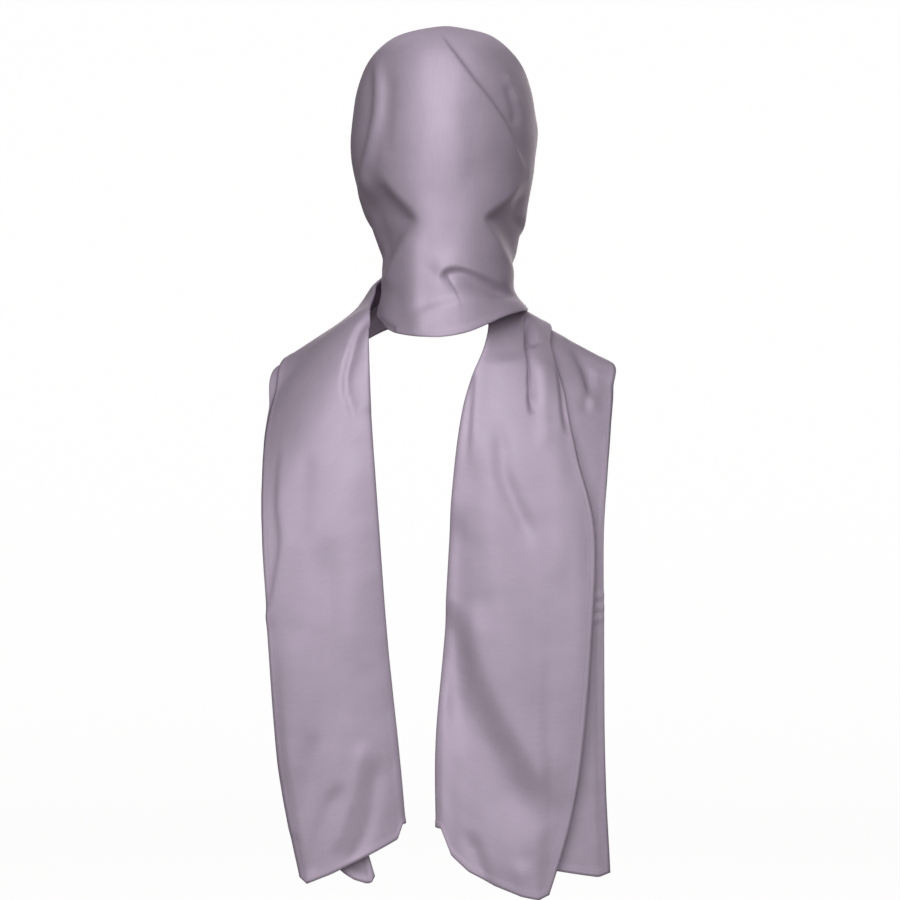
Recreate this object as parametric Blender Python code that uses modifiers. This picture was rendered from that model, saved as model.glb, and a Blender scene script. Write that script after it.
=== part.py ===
"""A satin headscarf as it is worn: drawn over the head, crossed under the chin, both ends thrown back.

The wearer faces +Y, so -Y is the back of the head. +X is the wearer's right, and +Z is up.
The origin is where the inside of the cloth rests on the crown of the head.
Tables and sizes are in millimetres, and meshes are in metres.
"""

import math
from collections import namedtuple

import bpy
import numpy as np

MM = 0.001

# Driving sizes.
WALL = 1.2
SEAM_GAP = 0.4

# How finely each piece is divided: the head drape's rows above the face, beside it and along
# its seams with the stretches, and a stretch's steps across from the fold beside the neck to
# where its back layer ends, from there to where its front layer ends, and on to the side.
CROWN_ROWS = 6
FACE_ROWS = 22
SEAM_ROWS = 8
HEAD_COLUMNS = 52
ROWS_PER_STATION = 3
LAYER_STEPS = {2: (0, 8, 3), 3: (3, 5, 2)}
FOLD_STEPS = 3
FRONT_LIMIT = 0.95

# The head drape's level sections, from the crown down: how far the cloth stands from the
# crown's axis on each side. The outline from behind is the left and right columns.
HeadSection = namedtuple("HeadSection", "height left right back front")
HEAD_SECTIONS = [
    HeadSection(0, 0, 0, 0, 0),
    HeadSection(-5, 28, 29, 26, 28),
    HeadSection(-12, 49, 50, 49, 50),
    HeadSection(-24, 65, 65, 70, 67),
    HeadSection(-43, 79, 79, 91, 84),
    HeadSection(-66, 87, 87, 103, 92),
    HeadSection(-93, 91, 91, 110, 96),
    HeadSection(-120, 93, 92, 112, 97),
    HeadSection(-143, 91, 90, 108, 96),
    HeadSection(-163, 86, 87, 102, 94),
    HeadSection(-183, 80, 84, 95, 90),
    HeadSection(-203, 73, 79, 90, 85),
    HeadSection(-223, 66, 74, 87, 82),
    HeadSection(-243, 63, 69, 86, 81),
    HeadSection(-263, 62, 70, 87, 82),
    HeadSection(-285, 66, 85, 89, 85),
    HeadSection(-318, 74, 98, 92, 88),
]

# The drape's hem round the neck: the angle from the back, to the wearer's right, and its height.
HemPoint = namedtuple("HemPoint", "angle height")
HEAD_HEM = [
    HemPoint(-118, -268),
    HemPoint(-95, -282),
    HemPoint(-75, -294),
    HemPoint(-42, -309),
    HemPoint(-15, -314),
    HemPoint(0, -314),
    HemPoint(13, -310),
    HemPoint(28, -301),
    HemPoint(38, -295),
    HemPoint(62, -287),
    HemPoint(85, -284),
    HemPoint(108, -282),
]

# The edge round the face, from the forehead down to the jaw, and then the seam down the side
# of the neck: the angle from the back, alike on both sides, and the height.
EdgePoint = namedtuple("EdgePoint", "share angle height")
FACE_EDGE = [
    EdgePoint(0.00, 180, -42),
    EdgePoint(0.06, 166, -44),
    EdgePoint(0.13, 153, -51),
    EdgePoint(0.22, 143, -66),
    EdgePoint(0.34, 138, -92),
    EdgePoint(0.46, 137, -123),
    EdgePoint(0.58, 137, -155),
    EdgePoint(0.68, 138, -182),
    EdgePoint(0.76, 139, -203),
    EdgePoint(0.84, 132, -226),
    EdgePoint(0.92, 123, -252),
    EdgePoint(1.00, 112, -282),
]
FOREHEAD_SHARE = 0.24
JAW_SHARE = 0.76
BACK_DENSITY = 0.75

# A crease or ridge drawn on the cloth: its path across and up, its height at the line, how far
# it spreads to either side, how deep the cloth sinks beside it and how far off that is.
Crease = namedtuple("Crease", "path height spread hollow_left hollow_right reach")
HEAD_CREASES = [
    # the hollow under the skull on the left
    Crease([(-42, -176), (-29, -187), (-25, -197), (-32, -214), (-44, -232), (-58, -256)],
           2, 12, -9, 0, 22),
    # the hollow under the skull on the right
    Crease([(56, -140), (65, -160), (62, -172), (50, -186), (42, -196), (50, -216), (62, -240)],
           2, 12, 0, -8, 20),
    # the long slanting fold on the right of the crown
    Crease([(2, -30), (26, -58), (46, -84), (60, -112), (68, -140)], 2.5, 12, 0, -3, 14),
    # the upright fold on the left of the crown
    Crease([(-62, -40), (-60, -75), (-66, -110), (-76, -145)], 2.5, 9, -2, -3, 12),
    # the lip of the nape fold, with the trough below it
    Crease([(-8, -250), (6, -241), (28, -246), (50, -257), (68, -268)], 5, 10, 0, -10, 20),
    # the swag that falls from the nape to the hem
    Crease([(-24, -200), (-26, -240), (-24, -280), (-20, -312)], 4, 15, 0, 0, 10),
]

# The stations of a thrown-back stretch, from the jaw over the shoulder and down the back.
# Inner, mid and outer are points of its innermost layer: beside the neck, in the middle and
# at the shoulder. Front and back are how far across the outermost and innermost layers reach.
Station = namedtuple("Station", "inner mid outer front back gap")
LEFT_STATIONS = [
    Station((44, 58, -203), (57, 40, -243), (78, 24, -281), 1.00, 0.375, 3),
    Station((32, 72, -208), (46, 70, -246), (62, 58, -286), 0.98, 0.45, 3),
    Station((0, 80, -214), (-2, 82, -252), (0, 78, -290), 0.96, 0.50, 4),
    Station((-34, 74, -226), (-46, 76, -260), (-56, 68, -296), 0.94, 0.50, 4),
    Station((-59, 44, -250), (-84, 54, -288), (-116, 48, -330), 0.92, 0.50, 3),
    Station((-70, -2, -278), (-112, 4, -308), (-167, 3, -343), 0.92, 0.50, 3),
    Station((-73, -34, -294), (-120, -30, -327), (-171, -12, -385), 0.92, 0.50, 4),
    Station((-75, -54, -324), (-123, -50, -362), (-174, -28, -424), 0.96, 0.50, 5),
    Station((-75, -62, -388), (-121, -60, -420), (-168, -38, -464), 1.02, 0.50, 7),
    Station((-70, -66, -490), (-117, -67, -510), (-164, -46, -530), 1.03, 0.50, 8),
    Station((-62, -66, -606), (-109, -69, -616), (-158, -50, -625), 1.03, 0.48, 8),
    Station((-51, -66, -710), (-98, -69, -716), (-149, -52, -720), 1.03, 0.38, 8),
    Station((-44, -65, -785), (-87, -68, -796), (-134, -54, -808), 1.00, 0.27, 8),
]
RIGHT_STATIONS = [
    Station((-44, 54, -203), (-56, 36, -240), (-66, 20, -274), 1.00, 0, 3),
    Station((-28, 60, -208), (-36, 54, -242), (-42, 46, -276), 0.96, 0, 3),
    Station((0, 64, -214), (2, 64, -250), (6, 58, -286), 0.90, 0, 3),
    Station((26, 48, -226), (36, 42, -262), (46, 36, -296), 0.76, 0, 3),
    Station((43, 24, -252), (67, 25, -292), (106, 34, -326), 0.60, 0, 4),
    Station((46, -4, -268), (104, 0, -301), (166, -2, -335), 0.50, 0, 4),
    Station((47, -38, -289), (104, -34, -328), (168, -16, -362), 0.50, 0, 4),
    Station((42, -58, -324), (104, -54, -362), (165, -26, -398), 0.60, 0, 6),
    Station((24, -66, -380), (90, -66, -414), (161, -34, -446), 0.76, 0, 9),
    Station((14, -69, -470), (84, -70, -488), (157, -40, -506), 0.90, 0, 11),
    Station((8, -69, -580), (82, -71, -590), (157, -44, -600), 0.88, 0, 12),
    Station((-1, -69, -700), (80, -70, -704), (158, -46, -708), 0.80, 0, 12),
    Station((-1, -68, -785), (80, -69, -797), (163, -48, -806), 0.62, 0, 12),
]

# How far each layer's hem hangs below the last station, by the share across it.
HemDrop = namedtuple("HemDrop", "across drop")
LEFT_DROPS = {
    "front": [HemDrop(0, 0), HemDrop(0.05, 13), HemDrop(0.28, 20), HemDrop(0.7, 32),
              HemDrop(0.93, 37), HemDrop(1, 29)],
    "middle": [HemDrop(0, 0), HemDrop(0.05, 8), HemDrop(0.5, 6), HemDrop(1, -8)],
    "back": [HemDrop(0.27, 46), HemDrop(0.31, 52), HemDrop(0.37, 51), HemDrop(0.5, 45),
             HemDrop(0.6, 37), HemDrop(0.77, 20), HemDrop(1, -8)],
}
RIGHT_DROPS = {
    "front": [HemDrop(0, 4), HemDrop(0.06, 28), HemDrop(0.16, 41), HemDrop(0.31, 51),
              HemDrop(0.46, 58), HemDrop(0.56, 60), HemDrop(0.62, 54)],
    "middle": [HemDrop(0, 4), HemDrop(0.06, 20), HemDrop(0.16, 28), HemDrop(0.6, 31),
               HemDrop(0.93, 36), HemDrop(1, 31)],
}
DROP_STARTS = 0.72

# How a stretch leaves the drape's seam: it is eased on to it over this many stations, and the
# drape's own form is carried on round by this much for each station.
SEAM_REACH = 1.2
SEAM_RUN = 42
SEAM_RADIUS = 75
SMALL = 0.01

LEFT_CREASES = [
    # the long tuck that runs from the neck down over the shoulder
    Crease([(-70, -286), (-84, -302), (-97, -330), (-104, -356), (-103, -378), (-95, -410)],
           4, 10, 0, -6, 12),
    # the soft upright trough down the middle
    Crease([(-116, -520), (-112, -600), (-114, -670), (-126, -730)], -4, 14, 0, 0, 10),
    # the fold that runs down the outer side
    Crease([(-148, -510), (-153, -550), (-162, -590)], 3, 9, 0, 0, 10),
]
RIGHT_CREASES = [
    # the deep pleat below the gather
    Crease([(80, -296), (79, -320), (84, -350), (86, -380)], -8, 8, 0, 0, 10),
    # the ridges that fan out to the shoulder
    Crease([(98, -310), (106, -336), (112, -370), (120, -410)], 4, 8, 0, 0, 10),
    # the slanting trough across the middle
    Crease([(60, -415), (64, -452), (74, -490), (88, -540), (92, -600)], -6, 14, 0, 0, 10),
    # the upright roll on the inner side
    Crease([(44, -470), (50, -540), (58, -600), (72, -670)], 5, 16, 0, 0, 10),
    # the trough beside the inner fold
    Crease([(20, -420), (24, -500), (26, -580), (20, -660)], -5, 12, 0, 0, 10),
]


def ease(x):
    """0 below 0, 1 above 1, and smooth between."""
    x = np.clip(x, 0, 1)
    return x * x * (3 - 2 * x)


def spline(knots, values, at):
    """A smooth curve through values at the knots, read at each number in at."""
    knots, values, at = np.asarray(knots, float), np.asarray(values, float), np.asarray(at, float)
    flat = values.ndim == 1
    values = values.reshape(len(knots), -1)
    steps = np.diff(knots)[:, None]
    slopes = np.diff(values, axis=0) / steps
    inner = (slopes[:-1] * steps[1:] + slopes[1:] * steps[:-1]) / (steps[1:] + steps[:-1])
    tangents = np.vstack([slopes[:1], inner, slopes[-1:]])
    place = np.clip(np.searchsorted(knots, at, "right") - 1, 0, len(knots) - 2)
    width = knots[place + 1] - knots[place]
    u = ((at - knots[place]) / width)[..., None]
    width = width[..., None]
    found = (
        values[place] * (1 + 2 * u) * (1 - u) ** 2
        + values[place + 1] * u * u * (3 - 2 * u)
        + tangents[place] * width * u * (1 - u) ** 2
        - tangents[place + 1] * width * u * u * (1 - u)
    )
    return found[..., 0] if flat else found


def crease_height(crease, x, z):
    """How far a crease lifts the cloth at each place across and up."""
    path = np.asarray(crease.path, float)
    line = spline(np.arange(len(path)), path, np.linspace(0, len(path) - 1, 8 * len(path)))
    steps = np.diff(line, axis=0)
    places = np.stack([x, z], -1)[..., None, :] - line[:-1]
    along = np.clip((places * steps).sum(-1) / (steps * steps).sum(-1), 0, 1)
    away = places - along[..., None] * steps
    distance = np.sqrt((away * away).sum(-1))
    nearest = distance.argmin(-1)[..., None]
    distance = np.take_along_axis(distance, nearest, -1)[..., 0]
    turn = steps[..., 0] * places[..., 1] - steps[..., 1] * places[..., 0]
    left = np.take_along_axis(turn, nearest, -1)[..., 0] < 0
    share = (nearest + np.take_along_axis(along, nearest, -1))[..., 0] / len(steps)
    faded = ease(share / 0.22) * ease((1 - share) / 0.22)
    lift = crease.height * np.exp(-((distance / crease.spread) ** 2))
    u = distance / crease.reach
    sunk = np.where(left, crease.hollow_left, crease.hollow_right) * u * u * np.exp(1 - u * u)
    return faded * (lift + sunk)


def crease_heights(creases, x, z, facing_back):
    return sum(crease_height(crease, x, z) for crease in creases) * facing_back


# The head drape.
HEAD_VALUES = np.array(HEAD_SECTIONS, float)
MIRRORED = HEAD_VALUES[1] * np.array([1, -1, -1, -1, -1])
HEAD_KNOTS = np.concatenate([[0], np.cumsum(np.hypot(*np.diff(HEAD_VALUES[:, [0, 3]], axis=0).T))])
HEAD_FIT_KNOTS = np.concatenate([[-HEAD_KNOTS[1]], HEAD_KNOTS])
HEAD_FIT_VALUES = np.vstack([MIRRORED, HEAD_VALUES])


def head_point(angle, down):
    """The cloth at an angle from the back and a distance down the back from the crown."""
    angle = np.radians(angle)
    height, left, right, back, front = np.moveaxis(
        spline(HEAD_FIT_KNOTS, HEAD_FIT_VALUES, down), -1, 0
    )
    across = np.where(np.sin(angle) >= 0, right, left)
    deep = np.where(np.cos(angle) >= 0, back, front)
    return np.stack([across * np.sin(angle), -deep * np.cos(angle), height], -1)


def down_at_height(height):
    """The distance down the back at which a section has this height."""
    down = np.linspace(0, HEAD_KNOTS[-1], 2000)
    heights = spline(HEAD_FIT_KNOTS, HEAD_FIT_VALUES[:, 0], down)
    return np.interp(-np.asarray(height, float), -heights, down)


def face_edge(share, side):
    """The angle and the distance down of the face edge and the neck seam, on one side."""
    edge = np.array(FACE_EDGE, float)
    angle, height = np.moveaxis(spline(edge[:, 0], edge[:, 1:], share), -1, 0)
    return side * angle, down_at_height(height)


def grid_normals(points):
    across = np.cross(np.gradient(points, axis=0), np.gradient(points, axis=1))
    length = np.linalg.norm(across, axis=-1, keepdims=True)
    return across / np.maximum(length, 1e-9)


def head_grid(row_share, columns):
    """The drape's middle surface: row 0 is the crown, the last row is the hem, and the columns
    run from the left edge of the face round the back to the right edge."""
    hem = np.array(HEAD_HEM, float)
    column_share = np.linspace(-1, 1, columns + 1)
    column_share = column_share * (BACK_DENSITY + (1 - BACK_DENSITY) * column_share**2)
    angles = np.zeros((len(row_share), columns + 1))
    downs = np.zeros_like(angles)
    for i, share in enumerate(row_share):
        edge_share = max(0.0, (share - FOREHEAD_SHARE) / (1 - FOREHEAD_SHARE))
        edge_angle, edge_down = (float(v) for v in face_edge(edge_share, 1))
        if share <= FOREHEAD_SHARE:
            edge_angle, edge_down = 180.0, edge_down * share / FOREHEAD_SHARE
        angles[i] = column_share * edge_angle
        hem_height = np.interp(angles[i], hem[:, 0], hem[:, 1])
        down = share * down_at_height(hem_height)
        front = ease((np.abs(column_share) * edge_angle - 70) / (edge_angle - 70))
        downs[i] = down * (1 - front) + edge_down * front
    points = head_point(angles, downs)
    normals = grid_normals(points)
    normals[0] = (0, 0, 1)
    facing_back = ease((-points[..., 1] - 5) / 30)
    lifted = crease_heights(HEAD_CREASES, points[..., 0], points[..., 2], facing_back)
    return points + normals * lifted[..., None]


# The stretches.
def joining(place):
    """1 at the drape's seam, easing to 0 where the stretch follows its own stations."""
    return 1 - ease(place / SEAM_REACH)


def stretch_surface(stations, place, across, side):
    """A point of the sheet that the layers are laid on, at a place along the stations and a
    share across them. At the seam it is the drape's own form, carried on round."""
    knots = np.arange(len(stations))
    corners = spline(knots, [[*s.inner, *s.mid, *s.outer] for s in stations], place)
    inner, mid, outer = corners[..., 0:3], corners[..., 3:6], corners[..., 6:9]
    a = across[..., None]
    laid = inner * (1 - a) * (1 - 2 * a) + mid * 4 * a * (1 - a) + outer * a * (2 * a - 1)
    angle, down = face_edge(JAW_SHARE + (1 - JAW_SHARE) * across, -side)
    past = (SEAM_GAP + SEAM_RUN * place) / SEAM_RADIUS
    carried = head_point(angle - side * np.degrees(past), down)
    return laid + (carried - laid) * joining(place)[..., None]


def stretch_frame(stations, place, across, side):
    """A point of the sheet, the way out from the body there, and the way across."""
    point = stretch_surface(stations, place, across, side)
    along = stretch_surface(stations, place + SMALL, across, side) - point
    over = stretch_surface(stations, place, across + SMALL, side) - point
    out = side * np.cross(along, over)
    return (
        point,
        out / np.linalg.norm(out, axis=-1, keepdims=True),
        over / np.linalg.norm(over, axis=-1, keepdims=True),
    )


def stretch_columns(layers):
    """The columns of a folded section, as the layer, the share across it where the column lies
    and how far round a fold it is. Layers that lie on each other have the same shares, which
    are worked out from where the front and back layers end."""
    inner, between, outer = (np.linspace(0, 1, n + 1) for n in LAYER_STEPS[len(layers)])

    def spots(layer, front, back):
        split = front if layer == "front" else min(front, FRONT_LIMIT)
        pieces = [back * inner, back + (split - back) * between[1:]]
        if layer != "front":
            pieces.append(split + (1 - split) * outer[1:])
        if layer == "back":
            pieces = pieces[1:]
            pieces[0] = np.concatenate([[back], pieces[0]])
        across = np.concatenate(pieces)
        return across if layer == "middle" else across[::-1]

    return spots


def section(layers, front, back):
    """One section's columns, from the front layer's free edge to the last layer's free edge."""
    spots = stretch_columns(layers)
    columns = []
    for number, layer in enumerate(layers):
        across = spots(layer, front, back)
        columns += [(number, a, 0.0) for a in across]
        if number < len(layers) - 1:
            columns += [(number, across[-1], step / FOLD_STEPS) for step in range(1, FOLD_STEPS)]
    return np.array(columns)


def stretch_grid(stations, drops, creases, side, rows):
    """The middle surface of a folded stretch, from the drape's seam to its hem. The front layer
    is outermost and runs in to the fold beside the neck, the middle layer runs out from it, and
    a back layer, where there is one, runs in again from the fold at the shoulder."""
    layers = list(drops)
    last = len(stations) - 1
    places = np.linspace(0, last, rows + 1)
    shares = spline(np.arange(last + 1), [[s.front, s.back, s.gap] for s in stations], places)
    sections = np.stack([section(layers, front, back) for front, back, gap in shares])
    number, across, turn = np.moveaxis(sections, -1, 0)
    place = places[:, None] + 0 * across
    front, back, gap = (shares[:, k, None] + 0 * across for k in range(3))
    point, out, over = stretch_frame(stations, place, across, side)

    round_fold = math.pi * turn
    way = np.where(number == 0, -1, 1)
    above = len(layers) - 1 - number - (len(layers) - 1) * joining(place)
    level = above * gap - gap / 2 * (1 - np.cos(round_fold))
    bulge = way * gap / 2 * np.sin(round_fold)

    facing_back = ease((-point[..., 1] - 5) / 25)
    lift = crease_heights(creases, point[..., 0], point[..., 2], facing_back)
    hanging = ease((place / last - DROP_STARTS) / (1 - DROP_STARTS)) ** 1.5
    drop = np.zeros_like(across)
    for n, layer in enumerate(layers):
        hem = np.array(drops[layer], float)
        fall = np.interp(across, hem[:, 0], hem[:, 1])
        drop = np.where(number == n, fall * hanging, drop)

    grid = point + out * (level + lift)[..., None] + over * bulge[..., None]
    grid[..., 2] -= drop
    return grid


# Meshes.
def mesh_from_grid(name, points, closed_rows=0, pole=False):
    """An open surface from a grid of points in millimetres. The first closed_rows rows meet at
    their two ends, and a pole is one point for the whole first row."""
    rows, columns = points.shape[:2]
    index = np.arange(rows * columns).reshape(rows, columns)
    if pole:
        index[0, :] = index[0, 0]
    index[:closed_rows, -1] = index[:closed_rows, 0]
    faces = []
    for i in range(rows - 1):
        for j in range(columns - 1):
            face = [index[i, j], index[i + 1, j], index[i + 1, j + 1], index[i, j + 1]]
            face = [int(v) for k, v in enumerate(face) if v != face[k - 1]]
            faces.append(face)
    used = sorted({v for face in faces for v in face})
    order = {v: n for n, v in enumerate(used)}
    flat = points.reshape(-1, 3) * MM
    mesh = bpy.data.meshes.new(name)
    mesh.from_pydata([flat[v] for v in used], [], [[order[v] for v in face] for face in faces])
    mesh.shade_smooth()
    return mesh


def satin():
    """Pale mauve satin."""
    material = bpy.data.materials.new("mauve satin")
    material.use_nodes = True
    shader = material.node_tree.nodes["Principled BSDF"]
    shader.inputs["Base Color"].default_value = (0.42, 0.33, 0.42, 1)
    shader.inputs["Roughness"].default_value = 0.4
    shader.inputs["Metallic"].default_value = 0.0
    return material


def add_piece(name, mesh, material, collection):
    """One stretch of the cloth: an open surface with a wall's thickness."""
    piece = bpy.data.objects.new(name, mesh)
    piece.data.materials.append(material)
    collection.objects.link(piece)
    wall = piece.modifiers.new("wall", "SOLIDIFY")
    wall.thickness = WALL * MM
    wall.offset = 0
    return piece


def make_head_drape(material, collection):
    jaw = FOREHEAD_SHARE + (1 - FOREHEAD_SHARE) * JAW_SHARE
    crown = np.linspace(0, FOREHEAD_SHARE, CROWN_ROWS + 1)
    face = np.linspace(FOREHEAD_SHARE, jaw, FACE_ROWS + 1)
    seam = np.linspace(jaw, 1, SEAM_ROWS + 1)
    row_share = np.concatenate([crown, face[1:], seam[1:]])
    grid = head_grid(row_share, HEAD_COLUMNS)
    mesh = mesh_from_grid("head_drape", grid, closed_rows=CROWN_ROWS + 1, pole=True)
    add_piece("head_drape", mesh, material, collection)


def make_stretch(name, stations, drops, creases, side, material, collection):
    rows = (len(stations) - 1) * ROWS_PER_STATION
    grid = stretch_grid(stations, drops, creases, side, rows)
    if side < 0:
        grid = grid[:, ::-1]
    add_piece(name, mesh_from_grid(name, grid), material, collection)


def main():
    for old in list(bpy.data.objects):
        bpy.data.objects.remove(old)
    collection = bpy.data.collections.new("headscarf")
    bpy.context.scene.collection.children.link(collection)
    material = satin()
    make_head_drape(material, collection)
    make_stretch("left_stretch", LEFT_STATIONS, LEFT_DROPS, LEFT_CREASES, -1, material, collection)
    make_stretch("right_stretch", RIGHT_STATIONS, RIGHT_DROPS, RIGHT_CREASES, 1, material, collection)


main()
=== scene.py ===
"""A satin headscarf as it is worn: drawn over the head, crossed under the chin, both ends thrown back.

The wearer faces +Y, so -Y is the back of the head. +X is the wearer's right, and +Z is up.
Tables and the sizes named below are in millimetres, and meshes are in metres.
"""

import math
from collections import namedtuple

import bpy
import numpy as np
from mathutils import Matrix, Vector, noise


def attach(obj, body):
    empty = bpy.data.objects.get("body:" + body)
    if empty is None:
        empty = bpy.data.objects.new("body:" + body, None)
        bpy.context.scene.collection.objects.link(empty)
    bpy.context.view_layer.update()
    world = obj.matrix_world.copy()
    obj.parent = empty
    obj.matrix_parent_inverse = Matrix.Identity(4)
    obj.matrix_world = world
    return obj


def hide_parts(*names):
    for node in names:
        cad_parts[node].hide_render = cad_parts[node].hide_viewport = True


bl_info = {
    "name": "Satin Headscarf",
    "version": (1, 0, 0),
    "blender": (4, 5, 0),
    "location": "3D View > Sidebar > Headscarf",
    "description": "Builds a draped satin headscarf with folded ends",
    "category": "Add Mesh",
}

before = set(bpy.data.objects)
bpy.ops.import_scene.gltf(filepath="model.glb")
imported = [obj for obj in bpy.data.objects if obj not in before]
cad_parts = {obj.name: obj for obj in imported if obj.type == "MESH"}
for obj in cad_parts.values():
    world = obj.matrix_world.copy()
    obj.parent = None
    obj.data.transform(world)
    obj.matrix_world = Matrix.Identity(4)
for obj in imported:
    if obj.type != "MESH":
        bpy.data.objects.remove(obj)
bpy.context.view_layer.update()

MM = 0.001


def linear(hex_colour):
    """An sRGB hex colour as linear red, green and blue."""
    values = [int(hex_colour[k : k + 2], 16) / 255 for k in (1, 3, 5)]
    return tuple(v / 12.92 if v <= 0.04045 else ((v + 0.055) / 1.055) ** 2.4 for v in values)


# The head drape's level sections, from the crown down: how far the cloth stands from the
# crown's axis on each side.
HeadSection = namedtuple("HeadSection", "height left right back front")
HEAD_SECTIONS = [
    HeadSection(0, 0, 0, 0, 0),
    HeadSection(-5, 28, 29, 26, 28),
    HeadSection(-12, 49, 50, 49, 50),
    HeadSection(-24, 65, 65, 70, 67),
    HeadSection(-43, 79, 79, 91, 84),
    HeadSection(-66, 87, 87, 103, 92),
    HeadSection(-93, 91, 91, 110, 96),
    HeadSection(-120, 93, 92, 112, 97),
    HeadSection(-143, 91, 90, 108, 96),
    HeadSection(-163, 86, 87, 102, 94),
    HeadSection(-183, 80, 84, 95, 90),
    HeadSection(-203, 73, 79, 90, 85),
    HeadSection(-223, 66, 74, 87, 82),
    HeadSection(-243, 63, 69, 86, 81),
    HeadSection(-263, 62, 70, 87, 82),
    HeadSection(-285, 66, 85, 89, 85),
    HeadSection(-318, 74, 98, 92, 88),
]

# The drape's hem round the neck: the angle from the back, to the wearer's right, and its height.
HemPoint = namedtuple("HemPoint", "angle height")
HEAD_HEM = [
    HemPoint(-118, -268),
    HemPoint(-95, -282),
    HemPoint(-75, -294),
    HemPoint(-42, -309),
    HemPoint(-15, -314),
    HemPoint(0, -314),
    HemPoint(13, -310),
    HemPoint(28, -301),
    HemPoint(38, -295),
    HemPoint(62, -287),
    HemPoint(85, -284),
    HemPoint(108, -282),
]

# The edge round the face, from the forehead down to the jaw, and then the seam down the side
# of the neck: the angle from the back, alike on both sides, and the height.
EdgePoint = namedtuple("EdgePoint", "share angle height")
FACE_EDGE = [
    EdgePoint(0.00, 180, -42),
    EdgePoint(0.06, 166, -44),
    EdgePoint(0.13, 153, -51),
    EdgePoint(0.22, 143, -66),
    EdgePoint(0.34, 138, -92),
    EdgePoint(0.46, 137, -123),
    EdgePoint(0.58, 137, -155),
    EdgePoint(0.68, 138, -182),
    EdgePoint(0.76, 139, -203),
    EdgePoint(0.84, 132, -226),
    EdgePoint(0.92, 123, -252),
    EdgePoint(1.00, 112, -282),
]
# The share of the way to the hem at which the rows meet the forehead edge, and the share of
# the face edge and seam that lies above the jaw.
FOREHEAD_SHARE = 0.24
JAW_SHARE = 0.76
# How closely the columns stand at the back, against 1 for even columns.
BACK_DENSITY = 0.75
# Beyond this angle from the back, the rows turn from the hem's height to the face edge's.
EDGE_TURN = 70

# The stations of a thrown-back stretch, from the jaw over the shoulder and down the back.
# Inner, mid and outer are points of its innermost layer: beside the neck, in the middle and
# at the shoulder. Front and back are how far across the outermost and innermost layers reach.
Station = namedtuple("Station", "inner mid outer front back gap")
LEFT_STATIONS = [
    Station((44, 58, -203), (57, 40, -243), (78, 24, -281), 1.00, 0.375, 3),
    Station((32, 72, -208), (46, 70, -246), (62, 58, -286), 0.98, 0.45, 3),
    Station((0, 80, -214), (-2, 82, -252), (0, 78, -290), 0.96, 0.50, 4),
    Station((-34, 74, -226), (-46, 76, -260), (-56, 68, -296), 0.94, 0.50, 4),
    Station((-59, 44, -250), (-84, 54, -288), (-116, 48, -330), 0.92, 0.50, 3),
    Station((-70, -2, -278), (-112, 4, -308), (-167, 3, -343), 0.92, 0.50, 3),
    Station((-73, -34, -294), (-120, -30, -327), (-171, -12, -385), 0.92, 0.50, 4),
    Station((-75, -54, -324), (-123, -50, -362), (-174, -28, -424), 0.96, 0.50, 5),
    Station((-75, -62, -388), (-121, -60, -420), (-168, -38, -464), 1.02, 0.50, 7),
    Station((-70, -66, -490), (-117, -67, -510), (-164, -46, -530), 1.03, 0.50, 8),
    Station((-62, -66, -606), (-109, -69, -616), (-158, -50, -625), 1.03, 0.48, 8),
    Station((-51, -66, -710), (-98, -69, -716), (-149, -52, -720), 1.03, 0.38, 8),
    Station((-44, -65, -785), (-87, -68, -796), (-134, -54, -808), 1.00, 0.27, 8),
]
RIGHT_STATIONS = [
    Station((-44, 54, -203), (-56, 36, -240), (-66, 20, -274), 1.00, 0, 3),
    Station((-28, 60, -208), (-36, 54, -242), (-42, 46, -276), 0.96, 0, 3),
    Station((0, 64, -214), (2, 64, -250), (6, 58, -286), 0.90, 0, 3),
    Station((26, 48, -226), (36, 42, -262), (46, 36, -296), 0.76, 0, 3),
    Station((43, 24, -252), (67, 25, -292), (106, 34, -326), 0.60, 0, 4),
    Station((46, -4, -268), (104, 0, -301), (166, -2, -335), 0.50, 0, 4),
    Station((47, -38, -289), (104, -34, -328), (168, -16, -362), 0.50, 0, 4),
    Station((42, -58, -324), (104, -54, -362), (165, -26, -398), 0.60, 0, 6),
    Station((24, -66, -380), (90, -66, -414), (161, -34, -446), 0.76, 0, 9),
    Station((14, -69, -470), (84, -70, -488), (157, -40, -506), 0.90, 0, 11),
    Station((8, -69, -580), (82, -71, -590), (157, -44, -600), 0.88, 0, 12),
    Station((-1, -69, -700), (80, -70, -704), (158, -46, -708), 0.80, 0, 12),
    Station((-1, -68, -785), (80, -69, -797), (163, -48, -806), 0.62, 0, 12),
]

# How far each layer's hem hangs below the last station, by the share across it.
HemDrop = namedtuple("HemDrop", "across drop")
LEFT_DROPS = {
    "front": [HemDrop(0, 0), HemDrop(0.05, 13), HemDrop(0.28, 20), HemDrop(0.7, 32),
              HemDrop(0.93, 37), HemDrop(1, 29)],
    "middle": [HemDrop(0, 0), HemDrop(0.05, 8), HemDrop(0.5, 6), HemDrop(1, -8)],
    "back": [HemDrop(0.27, 46), HemDrop(0.31, 52), HemDrop(0.37, 51), HemDrop(0.5, 45),
             HemDrop(0.6, 37), HemDrop(0.77, 20), HemDrop(1, -8)],
}
RIGHT_DROPS = {
    "front": [HemDrop(0, 4), HemDrop(0.06, 28), HemDrop(0.16, 41), HemDrop(0.31, 51),
              HemDrop(0.46, 58), HemDrop(0.56, 60), HemDrop(0.62, 54)],
    "middle": [HemDrop(0, 4), HemDrop(0.06, 20), HemDrop(0.16, 28), HemDrop(0.6, 31),
               HemDrop(0.93, 36), HemDrop(1, 31)],
}
# The drop sets in at this share of the stations.
DROP_STARTS = 0.72

# How a stretch leaves the drape's seam: the gap between them, how many stations it takes to
# reach its own, how far each station carries it on round the neck, and at what radius.
SEAM_GAP = 0.4
SEAM_REACH = 1.2
SEAM_RUN = 42
SEAM_RADIUS = 75
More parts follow.
